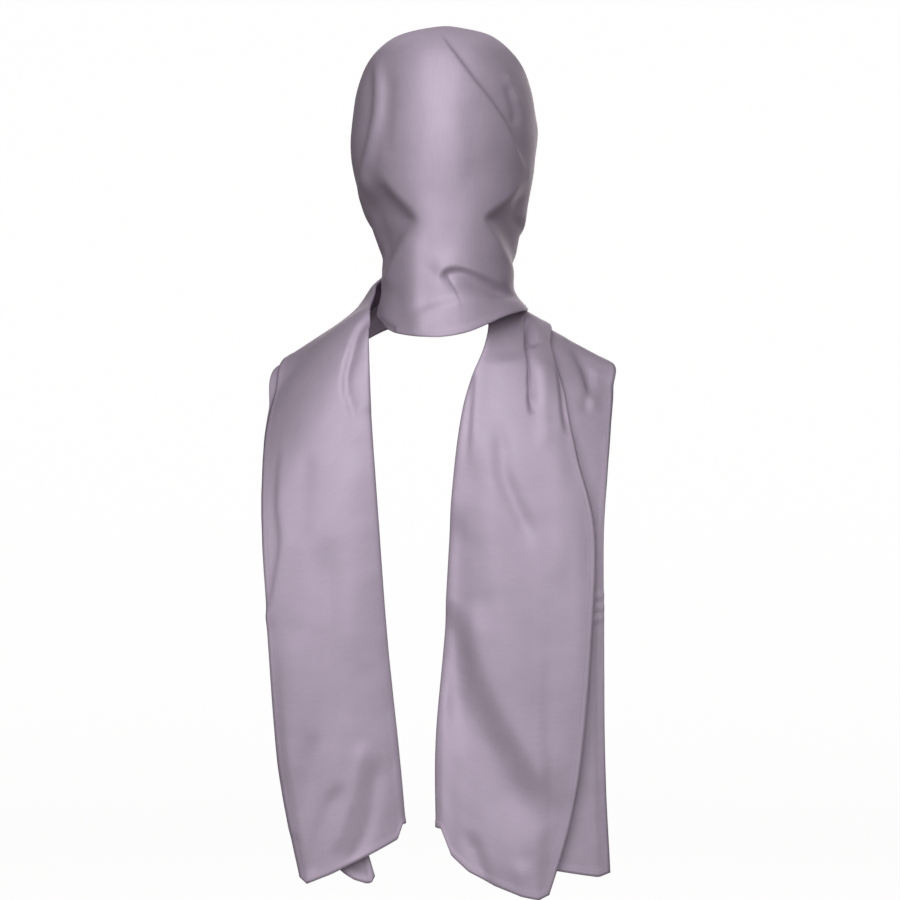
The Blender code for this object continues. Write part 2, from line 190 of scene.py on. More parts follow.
# The step in place and share that gives the sheet's directions.
SMALL = 0.01
# The under layers' columns are split no further across than this.
FRONT_LIMIT = 0.95

# A crease, as it is seen from one side of the scarf: its path across and up, or for the left
# and right sides, from back to front and up. A path that goes down has its left on the left.
# Height is the ridge at the line, soft how far it slopes off, and where the cloth sinks beside
# the line, how deep, how sharply, and how far out the hollow reaches.
Crease = namedtuple("Crease", "side path height soft hollow_left hollow_right edge reach")
HEAD_CREASES = [
    # the ridges under the skull, left and right, with the cloth falling away outside them
    Crease("back", [(-64, -146), (-45, -170), (-22, -199), (-37, -226), (-53, -251), (-62, -266)],
           2.5, 24, -12, 0, 14, 80),
    Crease("back", [(78, -148), (64, -172), (36, -197), (50, -222), (66, -247), (74, -262)],
           2.5, 24, 0, -11, 13, 70),
    # the upright fold on the left of the crown
    Crease("back", [(-66, -32), (-64, -66), (-65, -98), (-73, -133), (-80, -154), (-78, -178)],
           2.2, 7, -2.5, -3, 6, 13),
    Crease("back", [(-51, -60), (-53, -100), (-56, -144)], -1.0, 6, 0, 0, 4, 8),
    # the slanting fold on the right of the crown, and the small ones beyond it
    Crease("back", [(-8, -14), (4, -34), (27, -67), (45, -89), (59, -109), (71, -133), (79, -152)],
           0.3, 14, 0, -2.6, 3, 22),
    Crease("back", [(61, -66), (69, -88), (71, -110)], -1.8, 5, 0, 0, 4, 8),
    Crease("back", [(60, -56), (68, -70), (76, -88)], 1.0, 4, 0, -1, 3, 8),
    # the lip of the nape fold, and below its pocket the band that is drawn to the right
    Crease("back", [(-10, -256), (0, -248), (11, -245), (24, -247), (42, -254), (60, -262.5), (82, -272)],
           2.5, 14, -7, 0, 4, 20),
    Crease("back", [(-34, -298), (-8, -289), (22, -281), (54, -277), (88, -281)], 2, 17, 0, -4, 8, 15),
    # the swag that falls from the nape to the hem
    Crease("back", [(-24, -204), (-29, -236), (-30, -270), (-27, -300), (-20, -316)], 3, 11, 0, 0, 5, 10),
    Crease("back", [(-69, -294), (-58, -302), (-46, -309)], -4, 4, 0, 0, 3, 6),
    # the broad soft fold down the middle
    Crease("back", [(24, -84), (28, -130), (28, -180)], -0.7, 12, 0, 0, 4, 8),
    # the folds that run back from the jaw, on each side
    Crease("left", [(68, -240), (46, -216), (22, -194), (-6, -176), (-34, -166)], 2.0, 10, 0, -1.6, 7, 16),
    Crease("left", [(66, -206), (52, -178), (38, -142), (28, -104), (20, -66)], 1.6, 12, 0, 0, 4, 8),
    Crease("left", [(60, -254), (38, -243), (12, -232), (-16, -226)], -1.8, 8, 0, 0, 4, 8),
    Crease("left", [(70, -150), (62, -120), (54, -90), (44, -58)], -1.2, 9, 0, 0, 4, 8),
    Crease("right", [(66, -232), (42, -214), (16, -200), (-10, -192), (-36, -190)], 1.8, 11, 0, -1.6, 7, 16),
    Crease("right", [(68, -198), (50, -166), (30, -134), (8, -108), (-14, -90)], 1.8, 12, 0, 0, 4, 8),
    Crease("right", [(58, -250), (34, -244), (6, -240), (-22, -240)], -1.8, 8, 0, 0, 4, 8),
    Crease("right", [(72, -160), (66, -126), (56, -92), (42, -62)], -1.2, 9, 0, 0, 4, 8),
    # the edge of the cloth beside the face
    Crease("front", [(-30, -52), (-52, -78), (-63, -120), (-64, -160)], 1.4, 6, 0, 0, 4, 8),
    Crease("front", [(34, -54), (54, -82), (62, -128), (62, -172)], 1.2, 7, 0, 0, 4, 8),
]
LEFT_CREASES = [
    # the long tuck that runs from the neck down over the shoulder, and the roll inside it
    Crease("back", [(-60, -262), (-72, -291), (-85, -310), (-92, -331), (-97, -351), (-97, -370),
                    (-93, -384), (-88, -412)], 0.5, 18, 0, -7, 3, 7),
    Crease("back", [(-74, -330), (-76, -358), (-77, -392)], 1.2, 7, 0, 0, 3, 6),
    # the soft upright folds
    Crease("back", [(-150, -396), (-152, -473), (-149, -514), (-155, -555), (-160, -578), (-168, -596)],
           1.6, 8, -2, 0, 4, 10),
    Crease("back", [(-112, -500), (-110, -560), (-111, -668), (-121, -704), (-129, -780)],
           -3.2, 12, 0, 0, 4, 8),
    Crease("back", [(-95, -420), (-90, -480), (-88, -560), (-88, -640)], 1.8, 18, 0, 0, 4, 8),
    Crease("back", [(-141, -590), (-142, -660), (-143, -730)], 1.6, 10, 0, 0, 4, 8),
    Crease("back", [(-128, -420), (-130, -470), (-132, -520)], -1.2, 9, 0, 0, 4, 8),
    # the dents near the hem
    Crease("back", [(-96, -722), (-116, -764), (-123, -806)], -2.2, 8, 0, 0, 4, 8),
    Crease("back", [(-66, -704), (-73, -762), (-92, -802)], -1.8, 7, 0, 0, 4, 8),
    Crease("back", [(-141, -762), (-130, -814)], -1.5, 6, 0, 0, 4, 8),
    Crease("back", [(-78, -690), (-88, -740), (-104, -786)], 1.6, 7, 0, 0, 4, 8),
    # the folds across the throat
    Crease("front", [(66, -222), (30, -232), (-10, -238), (-50, -252), (-92, -286)], 3.2, 8, -2, 0, 5, 10),
    Crease("front", [(70, -250), (34, -256), (-8, -262), (-48, -276), (-86, -304)], -3.2, 7, 0, 0, 4, 8),
    Crease("front", [(60, -272), (20, -276), (-24, -284), (-62, -296)], 2.4, 7, 0, 0, 4, 8),
    Crease("front", [(34, -216), (0, -222), (-36, -236), (-60, -256)], -2.0, 5, 0, 0, 4, 8),
]
RIGHT_CREASES = [
    # where the cloth comes out from under the drape
    Crease("back", [(40, -280), (58, -306), (66, -340)], -4, 20, 0, 0, 4, 8),
    # the deep pleat below the gather, and the short one beside it
    Crease("back", [(78, -285), (77.5, -306), (77.5, -322), (79.5, -350), (79.5, -372), (80, -392)],
           0.5, 18, 0, -14, 2.2, 6.5),
    Crease("back", [(79, -290), (85, -307), (90, -325)], -6, 4, 0, 0, 3, 6),
    # the folds that fan out to the shoulder
    Crease("back", [(92, -330), (95, -356), (95, -394), (94, -430)], 2, 7, 0, 0, 3, 6),
    Crease("back", [(95, -304), (103, -337), (107, -367), (109, -391), (113, -414)], 2, 10, 0, -3, 4, 10),
    Crease("back", [(112, -314), (127, -336), (143, -379)], 2, 10, 0, -5, 6, 14),
    Crease("back", [(152, -340), (149, -360), (143, -390)], 1.5, 8, -3, 0, 4, 8),
    # the slanting trough across the middle
    Crease("back", [(54, -390), (55, -423), (57, -447), (65, -469), (75, -491), (86, -520)],
           -3.6, 8, 0, 0, 4, 8),
    Crease("back", [(76, -480), (86, -550), (92, -604), (98, -700)], -1.8, 15, 0, 0, 4, 8),
    # the upright rolls
    Crease("back", [(42, -380), (44, -450), (46, -510), (54, -570), (74, -680)], 2.6, 14, 0, 0, 4, 8),
    Crease("back", [(102, -384), (108, -450), (112, -560)], 1.6, 10, 0, 0, 4, 8),
    Crease("back", [(120, -440), (126, -540), (128, -660)], 1.6, 10, 0, 0, 4, 8),
    # the inner fold's roll and the trough beside it
    Crease("back", [(46, -298), (39, -323), (34, -343), (32, -367), (30, -399), (27, -450)],
           2, 9, -3.5, 0, 3, 8),
    Crease("back", [(14, -470), (16, -540), (16, -610), (12, -700)], -4, 12, 0, 0, 4, 8),
    # the slant where the lower part turns away from the light
    Crease("back", [(28, -560), (36, -600), (54, -644), (83, -684), (118, -730)], 3, 18, -10, 0, 20, 60),
    Crease("back", [(24, -750), (40, -790), (56, -818)], -2.2, 8, 0, 0, 4, 8),
    Crease("back", [(72, -760), (79, -800), (84, -836)], 2.0, 9, 0, 0, 4, 8),
    # the small wrinkles in the outer strip
    Crease("back", [(144, -566), (152, -563), (158, -564)], 1.2, 2.2, 0, 0, 3, 6),
    Crease("back", [(143, -575), (151, -573), (158, -575)], 1.2, 2.2, 0, 0, 3, 6),
    Crease("back", [(144, -586), (150, -583), (157, -584)], 1.0, 2.2, 0, 0, 3, 6),
    # the folds across the throat, under the other stretch
    Crease("front", [(-50, -232), (0, -240), (40, -262), (80, -296)], 2.4, 8, 0, 0, 4, 8),
    Crease("front", [(-40, -256), (10, -264), (50, -284)], -2.2, 7, 0, 0, 4, 8),
]

# How finely each piece is divided.
CROWN_ROWS = 32
FACE_ROWS = 100
SEAM_ROWS = 34
HEAD_COLUMNS = 190
STRETCH_ROWS = 270
LAYER_STEPS = {2: (0, 42, 18), 3: (18, 20, 6)}
FOLD_STEPS = 6
PATH_SAMPLES = 8

# The share of a crease's path over which it fades in, and out at its other end.
CREASE_FADE = 0.2
# The stations over which a stretch's creases set in, and the share of a row over which the
# drape's creases die out at the seam.
STRETCH_FADE = 0.3
SEAM_FADE = 0.08
# Millimetres over which the turned edge thins to the single cloth.
EDGE_TAPER = 1.5


class HeadscarfSizes(bpy.types.PropertyGroup):
    """The sizes and colours of the scarf."""

    wall: bpy.props.FloatProperty(
        name="Cloth", description="Thickness of the satin", default=0.0006, unit="LENGTH"
    )
    hem_wall: bpy.props.FloatProperty(
        name="Hem thickness", description="Thickness where the edge is turned", default=0.0014, unit="LENGTH"
    )
    hem_width: bpy.props.FloatProperty(
        name="Hem width", description="Width of the turned edge", default=0.005, unit="LENGTH"
    )
    stitch_spacing: bpy.props.FloatProperty(
        name="Stitch spacing", description="From one stitch to the next", default=0.003, unit="LENGTH"
    )
    stitch_length: bpy.props.FloatProperty(
        name="Stitch length", description="Thread that shows in each stitch", default=0.0022, unit="LENGTH"
    )
    thread_radius: bpy.props.FloatProperty(
        name="Thread radius", description="Half the thickness of the thread", default=0.00016, unit="LENGTH"
    )
    unevenness: bpy.props.FloatProperty(
        name="Unevenness", description="Height of the small dents in the cloth", default=0.0004, unit="LENGTH"
    )
    satin_light: bpy.props.FloatVectorProperty(
        name="Satin, light", description="Colour of the warp threads", subtype="COLOR",
        default=linear("#B3A5B6"),
    )
    satin_dark: bpy.props.FloatVectorProperty(
        name="Satin, dark", description="Colour of the weft threads", subtype="COLOR",
        default=linear("#A89BAA"),
    )
    thread: bpy.props.FloatVectorProperty(
        name="Thread", description="Colour of the sewing thread", subtype="COLOR",
        default=linear("#B5A3B6"),
    )


# Curves and creases.
def ease(x):
    """0 below 0, 1 above 1, and smooth between."""
    x = np.clip(x, 0, 1)
    return x * x * (3 - 2 * x)


def spline(knots, values, at):
    """A smooth curve through values at the knots, read at each number in at."""
    knots, values, at = np.asarray(knots, float), np.asarray(values, float), np.asarray(at, float)
    flat = values.ndim == 1
    values = values.reshape(len(knots), -1)
    steps = np.diff(knots)[:, None]
    slopes = np.diff(values, axis=0) / steps
    inner = (slopes[:-1] * steps[1:] + slopes[1:] * steps[:-1]) / (steps[1:] + steps[:-1])
    tangents = np.vstack([slopes[:1], inner, slopes[-1:]])
    place = np.clip(np.searchsorted(knots, at, "right") - 1, 0, len(knots) - 2)
    width = knots[place + 1] - knots[place]
    u = ((at - knots[place]) / width)[..., None]
    width = width[..., None]
    found = (
        values[place] * (1 + 2 * u) * (1 - u) ** 2
        + values[place + 1] * u * u * (3 - 2 * u)
        + tangents[place] * width * u * (1 - u) ** 2
        - tangents[place + 1] * width * u * u * (1 - u)
    )
    return found[..., 0] if flat else found


def seen_from(side, points):
    """The points as that side shows them, and how squarely each faces it."""
    x, y, z = np.moveaxis(points, -1, 0)
    across = x if side in ("back", "front") else y
    depth, turn = {"back": (18 - y, 56), "front": (y - 5, 30), "left": (-x - 35, 30),
                   "right": (x - 35, 30)}[side]
    return np.stack([across, z], -1), ease(depth / turn)


def crease_height(crease, points):
    """How far a crease lifts the cloth at each point."""
    places, facing = seen_from(crease.side, points)
    knots = np.arange(len(crease.path))
    line = spline(knots, crease.path, np.linspace(0, knots[-1], PATH_SAMPLES * knots[-1] + 1))
    steps = np.diff(line, axis=0)
    distance = np.full(places.shape[:-1], np.inf)
    share = np.zeros_like(distance)
    left = np.zeros_like(distance, bool)
    for k, (start, step) in enumerate(zip(line, steps)):
        from_start = places - start
        along = np.clip(from_start @ step / (step @ step), 0, 1)
        away = np.linalg.norm(from_start - along[..., None] * step, axis=-1)
        nearer = away < distance
        turn = step[0] * from_start[..., 1] - step[1] * from_start[..., 0]
        distance = np.where(nearer, away, distance)
        share = np.where(nearer, (k + along) / len(steps), share)
        left = np.where(nearer, turn < 0, left)
    hollow = np.where(left, crease.hollow_left, crease.hollow_right)
    ridge = np.exp(-((distance / np.where(hollow < 0, crease.edge, crease.soft)) ** 2))
    sunk = hollow * (1 - ridge) * np.exp(-((distance / crease.reach) ** 2))
    faded = ease(share / CREASE_FADE) * ease((1 - share) / CREASE_FADE)
    return facing * faded * (crease.height * ridge + sunk)


def dents(points, height):
    """Small uneven dents, in millimetres."""
    offset = Vector((9, 4, 2))
    both = [
        noise.noise(Vector(p) / 38) + 0.45 * noise.noise(Vector(p) / 15 + offset)
        for p in points.reshape(-1, 3)
    ]
    return height / MM * np.array(both).reshape(points.shape[:-1])


def grid_normals(points):
    """The way out of the grid at each of its points."""
    across = np.cross(np.gradient(points, axis=0), np.gradient(points, axis=1))
    length = np.linalg.norm(across, axis=-1, keepdims=True)
    return across / np.maximum(length, 1e-9)


# The head drape.
HEAD_VALUES = np.array(HEAD_SECTIONS, float)
MIRRORED = HEAD_VALUES[1] * np.array([1, -1, -1, -1, -1])
HEAD_KNOTS = np.concatenate([[0], np.cumsum(np.hypot(*np.diff(HEAD_VALUES[:, [0, 3]], axis=0).T))])
HEAD_FIT_KNOTS = np.concatenate([[-HEAD_KNOTS[1]], HEAD_KNOTS])
HEAD_FIT_VALUES = np.vstack([MIRRORED, HEAD_VALUES])


def head_point(angle, down):
    """The cloth at an angle from the back and a distance down the back from the crown."""
    angle = np.radians(angle)
    height, left, right, back, front = np.moveaxis(
        spline(HEAD_FIT_KNOTS, HEAD_FIT_VALUES, down), -1, 0
    )
    across = np.where(np.sin(angle) >= 0, right, left)
    deep = np.where(np.cos(angle) >= 0, back, front)
    return np.stack([across * np.sin(angle), -deep * np.cos(angle), height], -1)


def down_at_height(height):
    """The distance down the back at which a section has this height."""
    down = np.linspace(0, HEAD_KNOTS[-1], 2000)
    heights = spline(HEAD_FIT_KNOTS, HEAD_FIT_VALUES[:, 0], down)
    return np.interp(-np.asarray(height, float), -heights, down)


def face_edge(share, side):
    """The angle and the distance down of the face edge and the neck seam, on one side."""
    edge = np.array(FACE_EDGE, float)
    angle, height = np.moveaxis(spline(edge[:, 0], edge[:, 1:], share), -1, 0)
    return side * angle, down_at_height(height)


def head_grid(unevenness):
    """The drape's surface: row 0 is the crown, the last row is the hem, and the columns run
    from the left edge of the face round the back to the right edge."""
    jaw = FOREHEAD_SHARE + (1 - FOREHEAD_SHARE) * JAW_SHARE
    crown = np.linspace(0, FOREHEAD_SHARE, CROWN_ROWS + 1)
    face = np.linspace(FOREHEAD_SHARE, jaw, FACE_ROWS + 1)
    seam = np.linspace(jaw, 1, SEAM_ROWS + 1)
    row_share = np.concatenate([crown, face[1:], seam[1:]])
    hem = np.array(HEAD_HEM, float)
    column_share = np.linspace(-1, 1, HEAD_COLUMNS + 1)
    column_share = column_share * (BACK_DENSITY + (1 - BACK_DENSITY) * column_share**2)
    angles = np.zeros((len(row_share), len(column_share)))
    downs = np.zeros_like(angles)
    for i, share in enumerate(row_share):
        edge_share = max(0.0, (share - FOREHEAD_SHARE) / (1 - FOREHEAD_SHARE))
        edge_angle, edge_down = (float(v) for v in face_edge(edge_share, 1))
        if share <= FOREHEAD_SHARE:
            edge_angle, edge_down = 180.0, edge_down * share / FOREHEAD_SHARE
        angles[i] = column_share * edge_angle
        hem_height = spline(hem[:, 0], hem[:, 1], np.clip(angles[i], hem[0, 0], hem[-1, 0]))
        down = share * down_at_height(hem_height)
        front = ease((np.abs(column_share) * edge_angle - EDGE_TURN) / (edge_angle - EDGE_TURN))
        downs[i] = down * (1 - front) + edge_down * front
    points = head_point(angles, downs)
    normals = grid_normals(points)
    normals[0] = (0, 0, 1)
    lifted = sum(crease_height(crease, points) for crease in HEAD_CREASES) + dents(points, unevenness)
    seam_side = ease((1 - np.abs(column_share)) / SEAM_FADE)
    below_jaw = (row_share >= jaw)[:, None]
    lifted = lifted * np.where(below_jaw, seam_side[None, :], 1)
    return points + normals * lifted[..., None]


# The stretches.
def joining(place):
    """1 at the drape's seam, easing to 0 where the stretch follows its own stations."""
    return 1 - ease(place / SEAM_REACH)


def stretch_surface(stations, place, across, side):
    """A point of the sheet that the layers are laid on, at a place along the stations and a
    share across them. At the seam it is the drape's own form, carried on round."""
    knots = np.arange(len(stations))
    corners = spline(knots, [[*s.inner, *s.mid, *s.outer] for s in stations], place)
    inner, mid, outer = corners[..., 0:3], corners[..., 3:6], corners[..., 6:9]
    a = across[..., None]
    laid = inner * (1 - a) * (1 - 2 * a) + mid * 4 * a * (1 - a) + outer * a * (2 * a - 1)
    angle, down = face_edge(JAW_SHARE + (1 - JAW_SHARE) * across, -side)
    past = (SEAM_GAP + SEAM_RUN * place) / SEAM_RADIUS
    carried = head_point(angle - side * np.degrees(past), down)
    return laid + (carried - laid) * joining(place)[..., None]


def stretch_frame(stations, place, across, side):
    """A point of the sheet, the way out from the body there, and the way across."""
    point = stretch_surface(stations, place, across, side)
    along = stretch_surface(stations, place + SMALL, across, side) - point
    over = stretch_surface(stations, place, across + SMALL, side) - point
    out = side * np.cross(along, over)
    return (
        point,
        out / np.linalg.norm(out, axis=-1, keepdims=True),
        over / np.linalg.norm(over, axis=-1, keepdims=True),
    )


def section(layers, front, back):
    """One section's columns, from the front layer's free edge to the last layer's free edge:
    the layer's number, the share across, and how far round a fold."""
    inner, between, outer = (np.linspace(0, 1, n + 1) for n in LAYER_STEPS[len(layers)])
    columns = []
    for number, layer in enumerate(layers):
        split = front if layer == "front" else min(front, FRONT_LIMIT)
        covered = back + (split - back) * between[1:]
        beyond = split + (1 - split) * outer[1:]
        across = {
            "front": np.concatenate([back * inner, covered])[::-1],
            "middle": np.concatenate([back * inner, covered, beyond]),
            "back": np.concatenate([[back], covered, beyond])[::-1],
        }[layer]
        columns += [(number, a, 0.0) for a in across]
        if number < len(layers) - 1:
            columns += [(number, across[-1], step / FOLD_STEPS) for step in range(1, FOLD_STEPS)]
    return np.array(columns)


def even_places(stations, side):
    """Places along the stations that lie at even distances on the cloth."""
    fine = np.linspace(0, len(stations) - 1, 400)
    line = stretch_surface(stations, fine, 0.5 + 0 * fine, side)
    length = np.concatenate([[0], np.cumsum(np.linalg.norm(np.diff(line, axis=0), axis=-1))])
    return np.interp(np.linspace(0, length[-1], STRETCH_ROWS + 1), length, fine)


def stretch_grid(stations, drops, creases, side, unevenness):
    """The surface of a folded stretch, from the drape's seam to its hem. The front layer is
    outermost and runs in to the fold beside the neck, the middle layer runs out from it, and
    a back layer, where there is one, runs in again from the fold at the shoulder."""
    layers = list(drops)
    last = len(stations) - 1
    places = even_places(stations, side)
    shares = spline(np.arange(last + 1), [[s.front, s.back, s.gap] for s in stations], places)
    sections = np.stack([section(layers, front, back) for front, back, gap in shares])
    number, across, turn = np.moveaxis(sections, -1, 0)
    place = places[:, None] + 0 * across
    gap = shares[:, 2, None] + 0 * across
    point, out, over = stretch_frame(stations, place, across, side)

    round_fold = math.pi * turn
    way = np.where(number == 0, -1, 1)
    above = len(layers) - 1 - number - (len(layers) - 1) * joining(place)
    level = above * gap - gap / 2 * (1 - np.cos(round_fold))
    bulge = way * gap / 2 * np.sin(round_fold)

    lift = sum(crease_height(crease, point) for crease in creases) + dents(point, unevenness)
    lift = lift * ease(place / STRETCH_FADE)
    hanging = ease((place / last - DROP_STARTS) / (1 - DROP_STARTS)) ** 1.5
    drop = np.zeros_like(across)
    for n, layer in enumerate(layers):
        hem = np.array(drops[layer], float)
        fall = np.interp(across, hem[:, 0], hem[:, 1])
        drop = np.where(number == n, fall * hanging, drop)

    grid = point + out * (level + lift)[..., None] + over * bulge[..., None]
    grid[..., 2] -= drop
    return grid if side > 0 else grid[:, ::-1]


# Meshes.
def edge_distances(grid, by_row):
    """How far each point is from the end of its column, or from both ends of its row."""
    run = run_along(grid, 0 if by_row else 1)
    return run[-1] - run if by_row else np.minimum(run, run[:, -1:] - run)


def sheet_object(name, grid, cloth, hem_mask, sizes, closed_rows=0, pole=False):
    """A cloth piece from a grid of points in millimetres, with a thin wall that is thicker where
    its edge is turned. The first closed_rows rows meet at their two ends. cloth holds each
    point's place on the flat sheet: across its width, and along its length."""
    rows, columns = grid.shape[:2]
    own = np.arange(rows * columns).reshape(rows, columns)
    index = own.copy()
    if pole:
        index[0, :] = index[0, 0]
    index[:closed_rows, -1] = index[:closed_rows, 0]
    corners = np.stack([quads_of(index), quads_of(own)], -1)
    faces = [[c for k, c in enumerate(quad) if c[0] != quad[k - 1][0]] for quad in corners.tolist()]
    loops = np.array([c for face in faces for c in face])
    used, order = np.unique(loops[:, 0], return_inverse=True)
    ends = np.cumsum([len(face) for face in faces])
    faces = [part.tolist() for part in np.split(order, ends[:-1])]
    mesh = bpy.data.meshes.new(name)
    mesh.from_pydata((grid.reshape(-1, 3)[used] * MM).tolist(), [], faces)
    places = cloth.reshape(-1, 2)[loops[:, 1]] * MM
    mesh.uv_layers.new(name="cloth").uv.foreach_set("vector", places.ravel())
    mesh.shade_smooth()
    piece = bpy.data.objects.new(name, mesh)
    bpy.context.scene.collection.objects.link(piece)

    group = piece.vertex_groups.new(name="turned edge")
    weights = hem_mask.reshape(-1)[used]
    for weight in (0.5, 1.0):
        group.add(np.flatnonzero(weights == weight).tolist(), weight, "REPLACE")
    wall = piece.modifiers.new("wall", "SOLIDIFY")
    wall.thickness = sizes.hem_wall
    wall.offset = 0
    wall.vertex_group = group.name
    wall.thickness_vertex_group = sizes.wall / sizes.hem_wall
    return piece


def quads_of(index):
    """The four corners of each face of a grid."""
    corners = [index[:-1, :-1], index[1:, :-1], index[1:, 1:], index[:-1, 1:]]
    return np.stack(corners, -1).reshape(-1, 4)


def run_along(grid, axis):
    """How far along the cloth each point is, down its column or across its row."""
    steps = np.linalg.norm(np.diff(grid, axis=axis), axis=-1)
    start = [(1, 0), (0, 0)] if axis == 0 else [(0, 0), (1, 0)]
    return np.cumsum(np.pad(steps, start), axis=axis)


def turned_edge(distance, width):
    """1 in the turned edge, 0.5 where it ends and 0 in the single cloth."""
    return np.where(distance < width, 1.0, np.where(distance < width + EDGE_TAPER, 0.5, 0.0))


def both_faces(grid, rows, columns, lift):
    """Two lines through the grid at these rows and columns, one on each face of the cloth."""
    normals = grid_normals(grid)[rows, columns] * lift
    return [grid[rows, columns] + normals, grid[rows, columns] - normals]


# Nodes.
def add_node(tree, kind, links=None, **settings):
    """A node with its settings. links gives an input's name or number a value or a socket."""
    node = tree.nodes.new(kind)
    for name, value in settings.items():
        setattr(node, name, value)
    for name, value in (links or {}).items():
        if isinstance(value, bpy.types.NodeSocket):
            tree.links.new(value, node.inputs[name])
        else:
            node.inputs[name].default_value = value
    return node


def new_material(name):
    """A material, its node tree and its shader."""
    material = bpy.data.materials.new(name)
    material.use_nodes = True
    return material, material.node_tree, material.node_tree.nodes["Principled BSDF"]


def satin_material(sizes):
    """Polyester satin, woven and pressed: its long warp threads lie flat and side by side along
    the length of the cloth, so its soft shine spreads across them, and slopes along them go
    dull. The threads are 0.2 mm apart, too fine to show, so their streaks are drawn 1 mm wide."""
    material, tree, shader = new_material("mauve polyester satin")
    place = add_node(tree, "ShaderNodeUVMap", uv_map="cloth").outputs[0]
    warp = add_node(tree, "ShaderNodeMapping", {"Vector": place, "Scale": (900, 30, 1)})
    weft = add_node(tree, "ShaderNodeMapping", {"Vector": place, "Scale": (50, 1100, 1)})
    warp_streak = add_node(
        tree, "ShaderNodeTexNoise", {"Vector": warp.outputs[0], "Scale": 1.0, "Detail": 2.0}
    )
    weft_streak = add_node(
        tree, "ShaderNodeTexNoise", {"Vector": weft.outputs[0], "Scale": 1.0, "Detail": 1.0}
    )
    cloud = add_node(tree, "ShaderNodeTexNoise", {"Vector": place, "Scale": 14.0, "Detail": 2.0})
    streaks = add_node(
        tree, "ShaderNodeMath", {0: warp_streak.outputs[0], 1: weft_streak.outputs[0]}, operation="ADD"
    )
    both = add_node(tree, "ShaderNodeMath", {0: streaks.outputs[0], 1: cloud.outputs[0]}, operation="ADD")
    tone = add_node(tree, "ShaderNodeMapRange", {0: both.outputs[0], 1: 1.0, 2: 2.0})
    colour = add_node(
        tree,
        "ShaderNodeMix",
        {0: tone.outputs[0], 6: (*sizes.satin_dark, 1), 7: (*sizes.satin_light, 1)},
        data_type="RGBA",
    )
    rough = add_node(
        tree, "ShaderNodeMapRange", {0: warp_streak.outputs[0], 1: 0.3, 2: 0.7, 3: 0.6, 4: 0.68}
    )
    bump = add_node(
        tree, "ShaderNodeBump", {"Strength": 0.1, "Distance": 0.0004, "Height": streaks.outputs[0]}
    )
    across = add_node(tree, "ShaderNodeTangent", direction_type="UV_MAP", uv_map="cloth")
    tree.links.new(colour.outputs[2], shader.inputs["Base Color"])
    tree.links.new(rough.outputs[0], shader.inputs["Roughness"])
    tree.links.new(bump.outputs[0], shader.inputs["Normal"])
    tree.links.new(across.outputs[0], shader.inputs["Tangent"])
    shader.inputs["Metallic"].default_value = 0.36
    shader.inputs["Anisotropic"].default_value = 0.66
    return material


def thread_material(sizes):
    """Spun polyester thread: matt beside the satin, with a fine twist."""
    material, tree, shader = new_material("spun polyester thread")
    place = add_node(tree, "ShaderNodeTexCoord").outputs["Object"]
    twist = add_node(tree, "ShaderNodeTexNoise", {"Vector": place, "Scale": 2500.0, "Detail": 1.0})
    shade = add_node(
        tree,
        "ShaderNodeMix",
        {0: twist.outputs[0], 6: (*(0.8 * c for c in sizes.thread), 1), 7: (*sizes.thread, 1)},
        data_type="RGBA",
    )
    tree.links.new(shade.outputs[2], shader.inputs["Base Color"])
    shader.inputs["Roughness"].default_value = 0.7
    return material


def material_once(name, make, sizes):
    """The material of this name, made the first time it is asked for."""
    return bpy.data.materials.get(name) or make(sizes)


# Stitches.
def stitch_tree():
    """Stitches along a line: one short thread at each even step of it."""
    tree = bpy.data.node_groups.new("hem stitches", "GeometryNodeTree")
    new_socket = tree.interface.new_socket
    new_socket("Line", in_out="INPUT", socket_type="NodeSocketGeometry")
    for name in ("Spacing", "Length", "Radius"):
        new_socket(name, in_out="INPUT", socket_type="NodeSocketFloat")
    new_socket("Thread", in_out="INPUT", socket_type="NodeSocketMaterial")
    new_socket("Stitches", in_out="OUTPUT", socket_type="NodeSocketGeometry")
    given = add_node(tree, "NodeGroupInput")
    even = add_node(
        tree,
        "GeometryNodeResampleCurve",
        {"Curve": given.outputs["Line"], "Length": given.outputs["Spacing"]},
        mode="LENGTH",
    )
    stitch = add_node(
        tree,
        "GeometryNodeMeshCylinder",
        {"Vertices": 6, "Radius": given.outputs["Radius"], "Depth": given.outputs["Length"]},
    )
    tangent = add_node(tree, "GeometryNodeInputTangent")
    turned = add_node(
        tree, "FunctionNodeAlignRotationToVector", {"Vector": tangent.outputs[0]}, axis="Z"
    )
    sewn = add_node(
        tree,
        "GeometryNodeInstanceOnPoints",
        {"Points": even.outputs[0], "Instance": stitch.outputs["Mesh"], "Rotation": turned.outputs[0]},
    )
    real = add_node(tree, "GeometryNodeRealizeInstances", {"Geometry": sewn.outputs[0]})
    dyed = add_node(
        tree, "GeometryNodeSetMaterial", {"Geometry": real.outputs[0], "Material": given.outputs["Thread"]}
    )
    add_node(tree, "NodeGroupOutput", {"Stitches": dyed.outputs[0]})
    return tree


